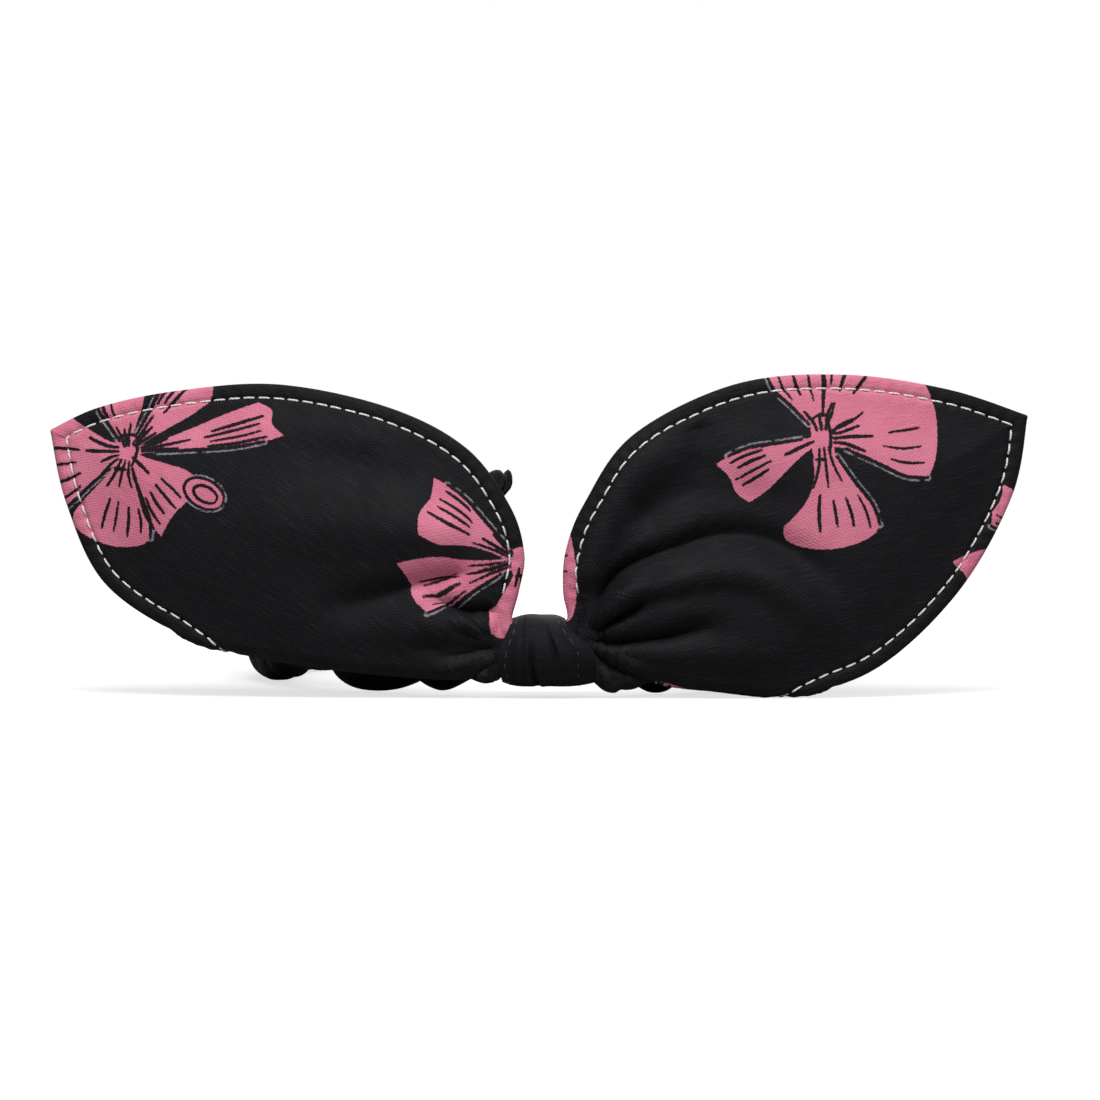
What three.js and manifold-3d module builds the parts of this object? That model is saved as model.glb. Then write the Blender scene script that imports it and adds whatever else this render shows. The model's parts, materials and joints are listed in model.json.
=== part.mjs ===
// Rabbit-ears headband: a knotted, leaf-ended bow tied round a wide gathered band on an elastic loop.
// Millimetres, +Z up. The ears face -Y, the band loops away behind them along +Y and stands on z = 0.
// The model is drawn round the knot and moved at the end, so that its box is centred over the origin.
import * as THREE from "three";
import { ParametricGeometry } from "three/addons/geometries/ParametricGeometry.js";
import { mergeVertices } from "three/addons/utils/BufferGeometryUtils.js";
import Module from "manifold-3d";

// ---- driving dimensions ----
const GAP = 0.3; // air kept between neighbouring solids
const THREAD = 0.2; // radius of the sewing thread

const KNOT = { halfWidth: 9.2, height: 14, wall: 1.6, centreZ: 8.6, front: -12, back: 8.4 };
const CORE_RADIUS = 4.9; // the band where the knot squeezes it, round so that the bow can turn on it

const LOOP = { halfX: 59, halfY: 70 }; // the band's centre line, an ellipse in plan
const COVER = { height: 45, thickness: 14, wall: 1.4, flareFrom: 11.5, flareTo: 52, footAt: 22, sides: 16 };
const NAPE = { leftX: -9.5, rightX: 15, overlap: 5 }; // the band cover stops here, either side of the nape
const SLEEVE = { bottom: 2.6, height: 8.4, thickness: 6.4, wall: 0.9 };
const ELASTIC = { height: 6, thickness: 0.9, lap: 12, lapOffset: 0.7 };

const EAR = { y: -7.6, panel: 0.6, core: 0.6, stitchInset: 2.7, allowance: 3.2 };
const NECK = { x: 12.2, radius: 2.2, bottom: 4, height: 9.2 };
const CLEAR = { x: 14.8, z: 17 }; // the ears keep out of this box round the knot

// Each ear's edge in its own plane, as [distance out from the knot, height]: up and over from the knot to
// the pointed corner, then back along the outer and lower edge.
const LEFT_EAR = {
  side: -1,
  upper: [[8.5, 13.5], [5, 21], [3.9, 27.5], [6.6, 36], [14.9, 47], [29.6, 54.7], [50.6, 59.2], [70, 58], [84.3, 54.9], [93.2, 50.6]],
  lower: [[93.2, 50.6], [90.1, 36.6], [82.5, 21.1], [66.4, 10.8], [48, 6.1], [26, 3.9], [10.4, 3.4]],
};
const RIGHT_EAR = {
  side: 1,
  upper: [[8, 13.2], [4.1, 17], [3.5, 24], [6.4, 35], [16.6, 49.4], [35.8, 59.1], [56.3, 61.1], [76, 58.4], [90.9, 53.4]],
  lower: [[90.9, 53.4], [87.9, 38.1], [77.5, 19.6], [61.9, 5.1], [45, 0.1], [28.9, 1.6], [10.4, 2.6]],
};

const FABRIC = { color: 0x0d0d10, roughness: 0.55, metalness: 0 };
const ELASTIC_LOOK = { color: 0x141414, roughness: 0.8, metalness: 0 };
const THREAD_LOOK = { color: 0xe8e6e2, roughness: 0.6, metalness: 0 };
const LINING_LOOK = { color: 0x2a2a2c, roughness: 0.9, metalness: 0 };

const wasm = await Module();
wasm.setup();

const band = new THREE.Group();
const knot = new THREE.Group();
const leftEar = new THREE.Group();
const rightEar = new THREE.Group();

// ---- helpers ----
function add(group, name, geometry, look) {
  const mesh = new THREE.Mesh(geometry, new THREE.MeshStandardMaterial(look));
  mesh.name = name;
  group.add(mesh);
}

function solid(geometry) {
  const bare = geometry.clone();
  for (const name of ["normal", "uv"]) bare.deleteAttribute(name);
  const merged = mergeVertices(bare, 1e-4);
  return new wasm.Manifold(
    new wasm.Mesh({
      numProp: 3,
      vertProperties: merged.attributes.position.array,
      triVerts: new Uint32Array(merged.index.array),
    }),
  );
}

function geometryOf(manifold) {
  const mesh = manifold.getMesh();
  const geometry = new THREE.BufferGeometry();
  geometry.setAttribute("position", new THREE.BufferAttribute(mesh.vertProperties, 3));
  geometry.setIndex(new THREE.BufferAttribute(mesh.triVerts, 1));
  geometry.computeVertexNormals();
  return geometry;
}

function smoothstep(from, to, x) {
  return THREE.MathUtils.smoothstep(x, from, to);
}

// ---- the band's loop ----
// The angle runs from 0 at the knot round the left side; negative angles go round the right side.
function loopPoint(angle) {
  return new THREE.Vector2(-LOOP.halfX * Math.sin(angle), LOOP.halfY * (1 - Math.cos(angle)));
}

function loopOutward(angle) {
  return new THREE.Vector2(-LOOP.halfY * Math.sin(angle), -LOOP.halfX * Math.cos(angle)).normalize();
}

// Distance along the loop from the knot, near enough for blending sections.
function alongLoop(angle) {
  return Math.abs(angle) * THREE.MathUtils.lerp(LOOP.halfX, (LOOP.halfX + LOOP.halfY) / 2, Math.min(1, Math.abs(angle)));
}

const leftMouth = Math.PI - Math.asin(-NAPE.leftX / LOOP.halfX);
const rightMouth = -(Math.PI - Math.asin(NAPE.rightX / LOOP.halfX));

// A flat-bottomed rounded section, from -1 to 1 both ways: two of its corners share its lowest level.
function roundedSection(u, sides, power) {
  const angle = 2 * Math.PI * (u + 0.5 / sides);
  const bulge = (value) => Math.sign(value) * Math.abs(value) ** (2 / power);
  const most = bulge(Math.cos(Math.PI / sides));
  return [bulge(Math.cos(angle)) / most, bulge(Math.sin(angle)) / most];
}

// The band cover's section: round in the knot, then flaring to a tall flat tube that stands on z = 0.
function coverSection(angle) {
  const along = alongLoop(angle);
  const flare = smoothstep(COVER.flareFrom, COVER.flareTo, along);
  const swell = smoothstep(COVER.flareFrom, COVER.footAt, along);
  const foot = (KNOT.centreZ - CORE_RADIUS) * (1 - swell);
  const height = 2 * CORE_RADIUS + swell * 6 + flare * (COVER.height - 2 * CORE_RADIUS - 6);
  return {
    halfThickness: THREE.MathUtils.lerp(CORE_RADIUS, COVER.thickness / 2, smoothstep(COVER.flareFrom, 30, along)),
    halfHeight: height / 2,
    centreZ: foot + height / 2,
    power: THREE.MathUtils.lerp(2, 3, flare),
  };
}

// A point of a section carried round the loop. across is towards the outside of the loop.
function onLoop(angle, across, z, target) {
  const centre = loopPoint(angle).addScaledVector(loopOutward(angle), across);
  return target.set(centre.x, centre.y, z);
}

// An open-ended hollow tube along the loop: its outer wall one way, then its inner wall back.
function hollowAlongLoop(from, to, steps, sides, section, wall) {
  const rows = 2 * steps + 2;
  return new ParametricGeometry(
    (u, v, target) => {
      const row = Math.round(v * rows) % rows;
      const inner = row > steps;
      const station = inner ? rows - 1 - row : row;
      const angle = THREE.MathUtils.lerp(from, to, station / steps);
      const s = section(angle);
      const [across, up] = roundedSection(Math.round(u * sides) / sides, sides, s.power);
      const trim = inner ? wall : 0;
      onLoop(angle, across * (s.halfThickness - trim), s.centreZ + up * (s.halfHeight - trim), target);
    },
    sides,
    rows,
  );
}

function bandCover() {
  return hollowAlongLoop(rightMouth, leftMouth, 62, COVER.sides, coverSection, COVER.wall);
}

function napeSleeve() {
  const tuck = NAPE.overlap / LOOP.halfX;
  const section = () => ({
    halfThickness: SLEEVE.thickness / 2,
    halfHeight: SLEEVE.height / 2,
    centreZ: SLEEVE.bottom + SLEEVE.height / 2,
    power: 3,
  });
  return hollowAlongLoop(leftMouth - tuck, 2 * Math.PI + rightMouth + tuck, 8, 12, section, SLEEVE.wall);
}

// The elastic is one flat strip whose two ends lap side by side at the nape.
function elasticStrip() {
  const middle = (leftMouth + 2 * Math.PI + rightMouth) / 2;
  const halfLap = ELASTIC.lap / 2 / LOOP.halfX;
  const from = middle - 2 * Math.PI - halfLap;
  const to = middle + halfLap;
  const low = SLEEVE.bottom + SLEEVE.height / 2;
  const strip = new THREE.BoxGeometry(1, 1, 1, 84, 1, 1);
  const position = strip.attributes.position;
  const point = new THREE.Vector3();
  for (let i = 0; i < position.count; i++) {
    const share = position.getX(i) + 0.5;
    const angle = THREE.MathUtils.lerp(from, to, share);
    const turns = (share - 0.5) * 2;
    const side = Math.sign(turns) * ELASTIC.lapOffset * smoothstep(0.86, 0.94, Math.abs(turns));
    const squeezed = 1 - smoothstep(COVER.flareFrom, COVER.flareTo, alongLoop(angle));
    const z = THREE.MathUtils.lerp(low, KNOT.centreZ, squeezed) + position.getY(i) * ELASTIC.height;
    onLoop(angle, side - position.getZ(i) * ELASTIC.thickness, z, point);
    position.setXYZ(i, point.x, point.y, point.z);
  }
  return strip;
}

// ---- threads ----
function threadSection() {
  const section = new THREE.Shape();
  section.absarc(0, 0, THREAD, 0, 2 * Math.PI);
  return section;
}

function thread(points, steps) {
  const path = new THREE.CatmullRomCurve3(points, false, "centripetal");
  return new THREE.ExtrudeGeometry(threadSection(), { steps, extrudePath: path, curveSegments: 3, bevelEnabled: false });
}

// A thread that closes on itself, as a ring of small sections.
function threadLoop(points, steps) {
  const path = new THREE.CatmullRomCurve3(points, true, "centripetal");
  const frames = path.computeFrenetFrames(steps, true);
  const sides = 6;
  return new ParametricGeometry(
    (u, v, target) => {
      const station = Math.round(v * steps) % steps;
      const angle = (2 * Math.PI * Math.round(u * sides)) / sides;
      path.getPointAt(station / steps, target);
      target.addScaledVector(frames.normals[station], THREAD * Math.cos(angle));
      target.addScaledVector(frames.binormals[station], THREAD * Math.sin(angle));
    },
    sides,
    steps,
  );
}

// The gathering thread that draws one end of the cover in, running round the inside of its mouth.
function coverEndStitch(angle) {
  const s = coverSection(angle);
  const trim = COVER.wall + GAP + 2 * THREAD;
  const points = [];
  for (let k = 0; k < COVER.sides; k++) {
    const [across, up] = roundedSection(k / COVER.sides, COVER.sides, s.power);
    const z = s.centreZ + up * (s.halfHeight - trim);
    points.push(onLoop(angle, across * (s.halfThickness - trim), z, new THREE.Vector3()));
  }
  return points;
}

// A zigzag bar tack down the lapped ends of the elastic, on the side that faces out of the loop.
function elasticJoinStitch() {
  const middle = (leftMouth + 2 * Math.PI + rightMouth) / 2;
  const across = ELASTIC.lapOffset + ELASTIC.thickness / 2 + GAP + THREAD;
  const centreZ = SLEEVE.bottom + SLEEVE.height / 2;
  const points = [];
  const turns = 9;
  for (let k = 0; k < turns; k++) {
    const along = (k / (turns - 1) - 0.5) * ELASTIC.lap * 0.8;
    const z = centreZ + (k % 2 ? 1 : -1) * ELASTIC.height * 0.3;
    points.push(onLoop(middle + along / LOOP.halfX, across, z, new THREE.Vector3()));
  }
  return thread(points, 32);
}

// ---- the knot ----
function stadium(yFrom, yTo, height) {
  const shape = new THREE.Shape();
  const radius = height / 2;
  shape.absarc(yFrom + radius, 0, radius, Math.PI / 2, 1.5 * Math.PI);
  shape.absarc(yTo - radius, 0, radius, -Math.PI / 2, Math.PI / 2);
  shape.closePath();
  return shape;
}

// Extrudes a shape drawn in the YZ plane along X, centred on the knot.
function alongX(shape, width) {
  const geometry = new THREE.ExtrudeGeometry(shape, { depth: width, bevelEnabled: false, curveSegments: 12 });
  geometry.translate(0, 0, -width / 2);
  geometry.applyMatrix4(new THREE.Matrix4().set(0, 0, 1, 0, 1, 0, 0, 0, 0, 1, 0, 0, 0, 0, 0, 1));
  geometry.translate(0, 0, KNOT.centreZ);
  return geometry;
}

function knotWrap() {
  const shape = stadium(KNOT.front, KNOT.back, KNOT.height);
  shape.holes.push(stadium(KNOT.front + KNOT.wall, KNOT.back - KNOT.wall, KNOT.height - 2 * KNOT.wall));
  return alongX(shape, 2 * KNOT.halfWidth);
}

// The strip crosses itself inside the wrap, in front of the band.
function knotCrossing() {
  const front = KNOT.front + KNOT.wall + GAP;
  const hull = solid(alongX(stadium(front, CORE_RADIUS, KNOT.height - 2 * KNOT.wall - 2 * GAP), 2 * (KNOT.halfWidth - GAP)));
  const room = new THREE.CylinderGeometry(CORE_RADIUS + GAP, CORE_RADIUS + GAP, 40, 32);
  room.rotateZ(Math.PI / 2);
  room.translate(0, 0, KNOT.centreZ);
  const behind = new THREE.BoxGeometry(40, 20, 20);
  behind.translate(0, -CORE_RADIUS + 2.4 + 10, KNOT.centreZ);
  return geometryOf(hull.subtract(solid(room)).subtract(solid(behind)));
}

function wrapStitch(x) {
  const clear = GAP + THREAD;
  const outline = stadium(KNOT.front - clear, KNOT.back + clear, KNOT.height + 2 * clear).getPoints(5);
  outline.pop();
  return threadLoop(outline.map((p) => new THREE.Vector3(x, p.x, p.y + KNOT.centreZ)), 40);
}

// ---- the ears ----
function earCurve(points, samples) {
  const curve = new THREE.SplineCurve(points.map(([out, up]) => new THREE.Vector2(out, up)));
  return curve.getSpacedPoints(samples);
}

// The closed edge of an ear, moved in by inset, as [out, up] points with a true corner at the tip.
function earOutline(ear, inset) {
  const line = [...earCurve(ear.upper, 34), ...earCurve(ear.lower, 30).slice(1)];
  return line.map((p, i) => {
    const before = line[Math.max(i - 1, 0)];
    const after = line[Math.min(i + 1, line.length - 1)];
    const a = i ? p.clone().sub(before).normalize() : after.clone().sub(p).normalize();
    const b = i < line.length - 1 ? after.clone().sub(p).normalize() : a;
    const inward = new THREE.Vector2(a.y + b.y, -a.x - b.x).normalize();
    const mitre = 1 / Math.max(0.5, Math.sqrt((1 + a.dot(b)) / 2));
    return p.clone().addScaledVector(inward, inset * mitre);
  });
}

function keptClear(p, margin) {
  return p.x < CLEAR.x + margin && p.y < CLEAR.z + margin;
}

// A flat plate of an ear: its outline moved in by inset, between two depths, clear of the knot.
function earPlate(ear, inset, frontY, thickness) {
  const shape = new THREE.Shape(earOutline(ear, inset).map((p) => new THREE.Vector2(ear.side * p.x, p.y)));
  const plate = new THREE.ExtrudeGeometry(shape, { depth: thickness, bevelEnabled: false });
  plate.rotateX(Math.PI / 2);
  plate.translate(0, frontY + thickness, 0);
  const room = new THREE.BoxGeometry(2 * CLEAR.x, 40, 2 * CLEAR.z);
  return solid(plate).subtract(solid(room));
}

function earThread(ear, inset, y) {
  const kept = earOutline(ear, inset).filter((p) => !keptClear(p, 0.6));
  return thread(kept.map((p) => new THREE.Vector3(ear.side * p.x, y, p.y)), 58);
}

function earNeck(ear) {
  const neck = new THREE.CylinderGeometry(NECK.radius, NECK.radius, NECK.height, 16);
  neck.rotateX(Math.PI / 2);
  neck.translate(ear.side * NECK.x, EAR.y, NECK.bottom + NECK.height / 2);
  return neck;
}

function buildEar(group, name, ear) {
  const coreFront = EAR.y - EAR.core / 2;
  const coreBack = EAR.y + EAR.core / 2;
  const faceFront = coreFront - GAP - EAR.panel;
  const faceBack = coreBack + GAP + EAR.panel;
  const edge = GAP + 4 * THREAD; // the edge seam lies just inside the outline
  const inner = edge + EAR.allowance;
  const allowance = earPlate(ear, edge, coreFront, EAR.core).subtract(earPlate(ear, inner, coreFront - 1, EAR.core + 2));

  add(group, name + "_front_panel", geometryOf(earPlate(ear, 0, faceFront, EAR.panel)), FABRIC);
  add(group, name + "_back_panel", geometryOf(earPlate(ear, 0, coreBack + GAP, EAR.panel)), FABRIC);
  add(group, name + "_interlining", geometryOf(earPlate(ear, inner + GAP, coreFront, EAR.core)), LINING_LOOK);
  add(group, name + "_seam_allowance", geometryOf(allowance), FABRIC);
  add(group, name + "_edge_seam", earThread(ear, GAP + THREAD / 2, EAR.y), THREAD_LOOK);
  add(group, name + "_front_topstitch", earThread(ear, EAR.stitchInset, faceFront - GAP - THREAD), THREAD_LOOK);
  add(group, name + "_back_topstitch", earThread(ear, EAR.stitchInset, faceBack + GAP + THREAD), THREAD_LOOK);
  add(group, name + "_neck", earNeck(ear), FABRIC);
}

// ---- the assembly ----
add(band, "band_cover", bandCover(), FABRIC);
add(band, "nape_sleeve", napeSleeve(), FABRIC);
add(band, "band_elastic", elasticStrip(), ELASTIC_LOOK);
add(band, "elastic_join_stitch", elasticJoinStitch(), THREAD_LOOK);
add(band, "cover_end_stitch_left", threadLoop(coverEndStitch(leftMouth - 0.06), 48), FABRIC);
add(band, "cover_end_stitch_right", threadLoop(coverEndStitch(rightMouth + 0.06), 48), FABRIC);

add(knot, "knot_wrap", knotWrap(), FABRIC);
add(knot, "knot_crossing", knotCrossing(), FABRIC);
add(knot, "knot_wrap_stitch_left", wrapStitch(-KNOT.halfWidth + EAR.stitchInset), THREAD_LOOK);
add(knot, "knot_wrap_stitch_right", wrapStitch(KNOT.halfWidth - EAR.stitchInset), THREAD_LOOK);

buildEar(leftEar, "left_ear", LEFT_EAR);
buildEar(rightEar, "right_ear", RIGHT_EAR);

const headband = new THREE.Group();
headband.add(band, knot, leftEar, rightEar);
const box = new THREE.Box3().setFromObject(headband);
headband.position.set(-(box.min.x + box.max.x) / 2, -(box.min.y + box.max.y) / 2, -box.min.z);

export default headband;
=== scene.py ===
"""Looks for the rabbit-ears headband: a knotted bow with stiff leaf ends on a gathered band.

Everything is drawn in millimetres round the knot, as the CAD model is, and turned into metres when a mesh is
made: x to the right ear, y back to the nape, z up from the surface it stands on.
"""
import json
import math

import bmesh
import bpy
import numpy as np
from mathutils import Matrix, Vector


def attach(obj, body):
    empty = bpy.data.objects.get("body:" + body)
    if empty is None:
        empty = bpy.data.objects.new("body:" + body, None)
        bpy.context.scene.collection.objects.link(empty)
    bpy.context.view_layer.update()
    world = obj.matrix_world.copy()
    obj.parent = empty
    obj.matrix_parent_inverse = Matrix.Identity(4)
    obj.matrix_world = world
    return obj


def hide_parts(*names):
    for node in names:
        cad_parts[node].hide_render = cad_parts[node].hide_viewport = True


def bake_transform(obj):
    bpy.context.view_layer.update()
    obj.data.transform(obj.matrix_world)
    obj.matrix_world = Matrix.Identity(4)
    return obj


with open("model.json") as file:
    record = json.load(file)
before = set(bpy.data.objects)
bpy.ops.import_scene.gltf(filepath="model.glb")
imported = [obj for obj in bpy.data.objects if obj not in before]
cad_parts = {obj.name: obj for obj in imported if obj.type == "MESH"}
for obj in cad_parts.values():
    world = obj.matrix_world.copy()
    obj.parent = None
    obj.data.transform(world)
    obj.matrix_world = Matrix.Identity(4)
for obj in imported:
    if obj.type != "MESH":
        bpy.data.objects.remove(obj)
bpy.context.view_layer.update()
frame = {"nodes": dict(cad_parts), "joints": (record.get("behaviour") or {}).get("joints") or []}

MM = 0.001
JOINTS = {joint["name"]: joint for joint in frame["joints"]}

# ---- dimensions shared with the CAD model, in millimetres ----
KNOT_Z = 8.6
KNOT = {"front": -12.0, "back": 8.4, "height": 14.0}
EAR_Y = -7.6
LOOP = (59.0, 70.0)
CORE_RADIUS = 4.9
COVER = {"height": 45.0, "thickness": 14.0}
NAPE = {"left": -9.5, "right": 15.0}
SLEEVE = {"bottom": 2.6, "height": 8.4, "thickness": 6.4}
ORIGIN = np.array(JOINTS["knot_roll"]["pos_m"]) - np.array([0, 0, KNOT_Z * MM])

# Each ear's edge as [distance out from the knot, height], from inside the knot to the pointed corner.
LEFT_UPPER = [[3.6, 11.6], [6.2, 14.4], [4.9, 20], [3.9, 27], [6.6, 36], [14.9, 47], [29.6, 54.7],
              [50.6, 59.2], [70, 58], [84.3, 54.9], [93.2, 50.6]]
LEFT_LOWER = [[6, 5.6], [10.4, 3.2], [26, 3.5], [48, 6.1], [66.4, 10.8], [82.5, 21.1], [90.1, 36.6],
              [93.2, 50.6]]
RIGHT_UPPER = [[2.8, 11.6], [4.2, 15], [3.4, 20], [3.9, 27.5], [7.4, 36.5], [16.6, 49.4], [35.8, 59.1],
               [56.3, 61.1], [76, 58.4], [90.9, 53.4]]
RIGHT_LOWER = [[5.4, 5.4], [9.6, 3.0], [12.4, 1.1], [16.2, 1.2], [19.8, 2.5], [23.6, 1.7], [30, 1.0],
               [45, 0.1], [61.9, 5.1], [77.5, 19.6], [87.9, 38.1], [90.9, 53.4]]

# The ears' grids: the finished panels, and the coarser one that settles as cloth.
PANEL_ROWS, PANEL_COLUMNS = ((330, 236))
CLOTH_ROWS, CLOTH_COLUMNS = 84, 56

# The middle of the neck, as [out, up], where the pleats run out from, and how far out the ear bends.
NECK = (8.5, 9.0)
TIP_LEAN, TIP_STRETCH, LEAF_SWELL = -6.5, 0.016, 2.2
PANEL_CLOTH = 0.3
SEAM = {"inset": 0.9, "radius": 0.15, "allowance": 4.0, "thickness": 0.2}
INTERLINING = {"margin": 4.4, "start": 15.2, "thickness": 0.25}
THROAT = {"out": (7.6, 14.4), "up": (3.9, 13.4), "margin": 3.2, "thickness": 0.8}

# The rim's topstitching. It starts outside a corner round the neck, given as [out, up].
STITCH = {"inset": 2.9, "pitch": 2.75, "length": 1.75, "radius": 0.19, "lift": 0.16}
STITCH_START = (19, 19.5)


# ---- numbers and curves ----
def smooth(low, high, value):
    """Rises from 0 at low to 1 at high, level at both ends."""
    t = np.clip((np.asarray(value, float) - low) / (high - low), 0, 1)
    return t * t * (3 - 2 * t)


def window(low, lower_end, upper_end, high, value):
    """Rises from 0 to 1 between the first two places and falls back to 0 between the last two."""
    return smooth(low, lower_end, value) * (1 - smooth(upper_end, high, value))


def between(a, b, c, d, t):
    """Catmull-Rom: the smooth way from b, at t = 0, to c, at t = 1, with a before them and d after."""
    return 0.5 * (2 * b + (c - a) * t + (2 * a - 5 * b + 4 * c - d) * t**2 + (3 * b - a - 3 * c + d) * t**3)


def smooth_curve(points, count):
    """Evenly spaced points along a smooth curve through the given ones."""
    p = np.array(points, float)
    padded = np.vstack([p[0], p, p[-1]])
    t = np.linspace(0, 1, 24, endpoint=False)[:, None]
    pieces = [between(*four, t) for four in zip(padded, padded[1:], padded[2:], padded[3:])]
    return resample(np.vstack(pieces + [p[-1:]]), count)


def distances_along(line):
    """How far along a polyline each of its points lies."""
    return np.append(0, np.cumsum(np.linalg.norm(np.diff(line, axis=0), axis=1)))


def resample(line, count):
    """The same polyline with evenly spaced points."""
    along = distances_along(line)
    wanted = np.linspace(0, along[-1], count)
    return np.stack([np.interp(wanted, along, values) for values in line.T], axis=1)


def upsample(grid, rows, columns):
    """A smooth finer copy of a grid of points."""
    for axis, count in ((0, rows), (1, columns)):
        size = grid.shape[axis]
        place = np.linspace(0, size - 1, count)
        i = np.clip(place.astype(int), 0, size - 2)
        shape = [1, 1, 1]
        shape[axis] = count
        t = (place - i).reshape(shape)
        four = [np.take(grid, np.clip(i + k, 0, size - 1), axis) for k in (-1, 0, 1, 2)]
        grid = between(*four, t)
    return grid


def unit(vectors):
    """The same directions at length one."""
    return vectors / np.maximum(np.linalg.norm(vectors, axis=-1, keepdims=True), 1e-9)


def normals_of(grid, wrap_columns=False):
    """Unit normals of a grid of points, from its neighbours' differences."""
    across = (np.roll(grid, -1, 1) - np.roll(grid, 1, 1)) / 2 if wrap_columns else np.gradient(grid, axis=1)
    return unit(np.cross(np.gradient(grid, axis=0), across))


def distance_to_line(points, line):
    """Distance of each 2-D point to a polyline, and how far along it the nearest place is, 0 to 1."""
    best = np.full(len(points), 1e9)
    where = np.zeros(len(points))
    for k, (a, b) in enumerate(zip(line[:-1], line[1:])):
        edge = b - a
        t = np.clip((points - a) @ edge / max(edge @ edge, 1e-12), 0, 1)
        d = np.linalg.norm(points - a - t[:, None] * edge, axis=1)
        closer = d < best
        best[closer] = d[closer]
        where[closer] = (k + t[closer]) / (len(line) - 1)
    return best, where


def inside(points, polygon):
    """Which 2-D points lie inside a polygon: those with an odd number of its edges to their right."""
    crossings = np.zeros(len(points), int)
    for a, b in zip(polygon, np.roll(polygon, -1, 0)):
        spans = (a[1] > points[:, 1]) != (b[1] > points[:, 1])
        rise = b[1] - a[1] if abs(b[1] - a[1]) > 1e-12 else 1e-12
        x = a[0] + (points[:, 1] - a[1]) * (b[0] - a[0]) / rise
        crossings += spans & (points[:, 0] < x)
    return crossings % 2 == 1


# ---- meshes ----
def grid_faces(rows, columns, wrap_rows=False, wrap_columns=False):
    """The quads of a grid of points, which can close on itself either way."""
    i, j = np.meshgrid(np.arange(rows - (not wrap_rows)), np.arange(columns - (not wrap_columns)),
                       indexing="ij")
    i2, j2 = (i + 1) % rows, (j + 1) % columns
    corners = [i * columns + j, i2 * columns + j, i2 * columns + j2, i * columns + j2]
    return np.stack(corners, axis=-1).reshape(-1, 4)


def two_sided(outer, count):
    """The faces of a layer of cloth: the outer ones, the inner ones count points on, and the edge's walls."""
    edges = np.vstack([outer[:, [k, (k + 1) % 4]] for k in range(4)])
    ways = edges @ [2 * count, 1], edges @ [1, 2 * count]
    a, b = edges[~np.isin(*ways)].T
    walls = np.stack([b, a, a + count, b + count], axis=1)
    return np.vstack([outer, outer[:, ::-1] + count, walls])


def make_object(name, points, faces, material, uv=None, fields=None, merge=True):
    """A smooth-shaded mesh object from points in millimetres, with flat cloth coordinates as its UVs.

    The fields are numbers that each point carries for its material. Merging joins points that coincide.
    """
    mesh = bpy.data.meshes.new(name)
    faces = faces if isinstance(faces, list) else faces.tolist()
    mesh.from_pydata((ORIGIN + np.asarray(points) * MM).tolist(), [], faces)
    if uv is not None:
        layer = mesh.uv_layers.new(name="cloth")
        loops = np.empty(len(mesh.loops), int)
        mesh.loops.foreach_get("vertex_index", loops)
        layer.data.foreach_set("uv", np.asarray(uv)[loops].astype(np.float32).ravel())
    for key, values in (fields or {}).items():
        attribute = mesh.attributes.new(key, "FLOAT", "POINT")
        attribute.data.foreach_set("value", np.asarray(values, np.float32))
    if merge:
        face_outwards(mesh, merge=True)
    mesh.polygons.foreach_set("use_smooth", np.ones(len(mesh.polygons), bool))
    mesh.materials.append(material)
    return in_scene(bpy.data.objects.new(name, mesh))


def in_scene(thing):
    """Links a new object into the scene, and returns it."""
    bpy.context.scene.collection.objects.link(thing)
    return thing


def face_outwards(mesh, merge=False):
    """Turns every face outwards, and first joins points that coincide where asked."""
    bm = bmesh.new()
    bm.from_mesh(mesh)
    if merge:
        bmesh.ops.remove_doubles(bm, verts=bm.verts, dist=2e-6)
        bmesh.ops.dissolve_degenerate(bm, edges=bm.edges, dist=1e-6)
    bmesh.ops.recalc_face_normals(bm, faces=bm.faces)
    bm.to_mesh(mesh)
    bm.free()


def stand_for(made, node, body=None):
    """Hides the CAD node that a mesh replaces, and puts the mesh on the body it rides on, where one is given.
    """
    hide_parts(node)
    if body:
        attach(made, body)


def thread_object(name, paths, radius, material, sides=8):
    """Round-ended pieces of thread as one object: one piece per path of 3-D points."""
    points, faces = [], []
    turn = np.arange(sides)[:, None] * 2 * math.pi / sides
    cap = np.linspace(0, math.pi / 2, 4)[:-1]
    for path in paths:
        tangent = unit(np.gradient(path, axis=0))
        helper = [0, 1, 0] if abs(tangent[:, 1]).mean() < 0.9 else [1, 0, 0]
        side = unit(np.cross(tangent, helper))
        up = np.cross(side, tangent)
        # Which place on the path each ring of points belongs to, how far past it the ring lies, and its size.
        at_place = np.concatenate([0 * cap, np.arange(len(path)), 0 * cap - 1]).astype(int)
        past = np.concatenate([-np.cos(cap), np.zeros(len(path)), np.cos(cap[::-1])])[:, None]
        size = np.concatenate([np.sin(cap), np.ones(len(path)), np.sin(cap[::-1])])[:, None, None]
        centres = path[at_place] + tangent[at_place] * past * radius
        rings = np.cos(turn) * side[at_place][:, None] + np.sin(turn) * up[at_place][:, None]
        faces.append(grid_faces(len(at_place), sides, wrap_columns=True) + sum(map(len, points)))
        points.append((centres[:, None] + rings * size * radius).reshape(-1, 3))
    return make_object(name, np.vstack(points), np.vstack(faces), material, merge=False)


# ---- cloth simulation ----
CLOTH_SCALE = 10
CLOTH = {"quality": 8, "mass": 0.25, "tension_stiffness": 25, "compression_stiffness": 25,
         "shear_stiffness": 8, "bending_stiffness": 1.5, "tension_damping": 10, "compression_damping": 10,
         "air_damping": 3, "pin_stiffness": 1, "shrink_min": 0, "shrink_max": -0.4}


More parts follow.
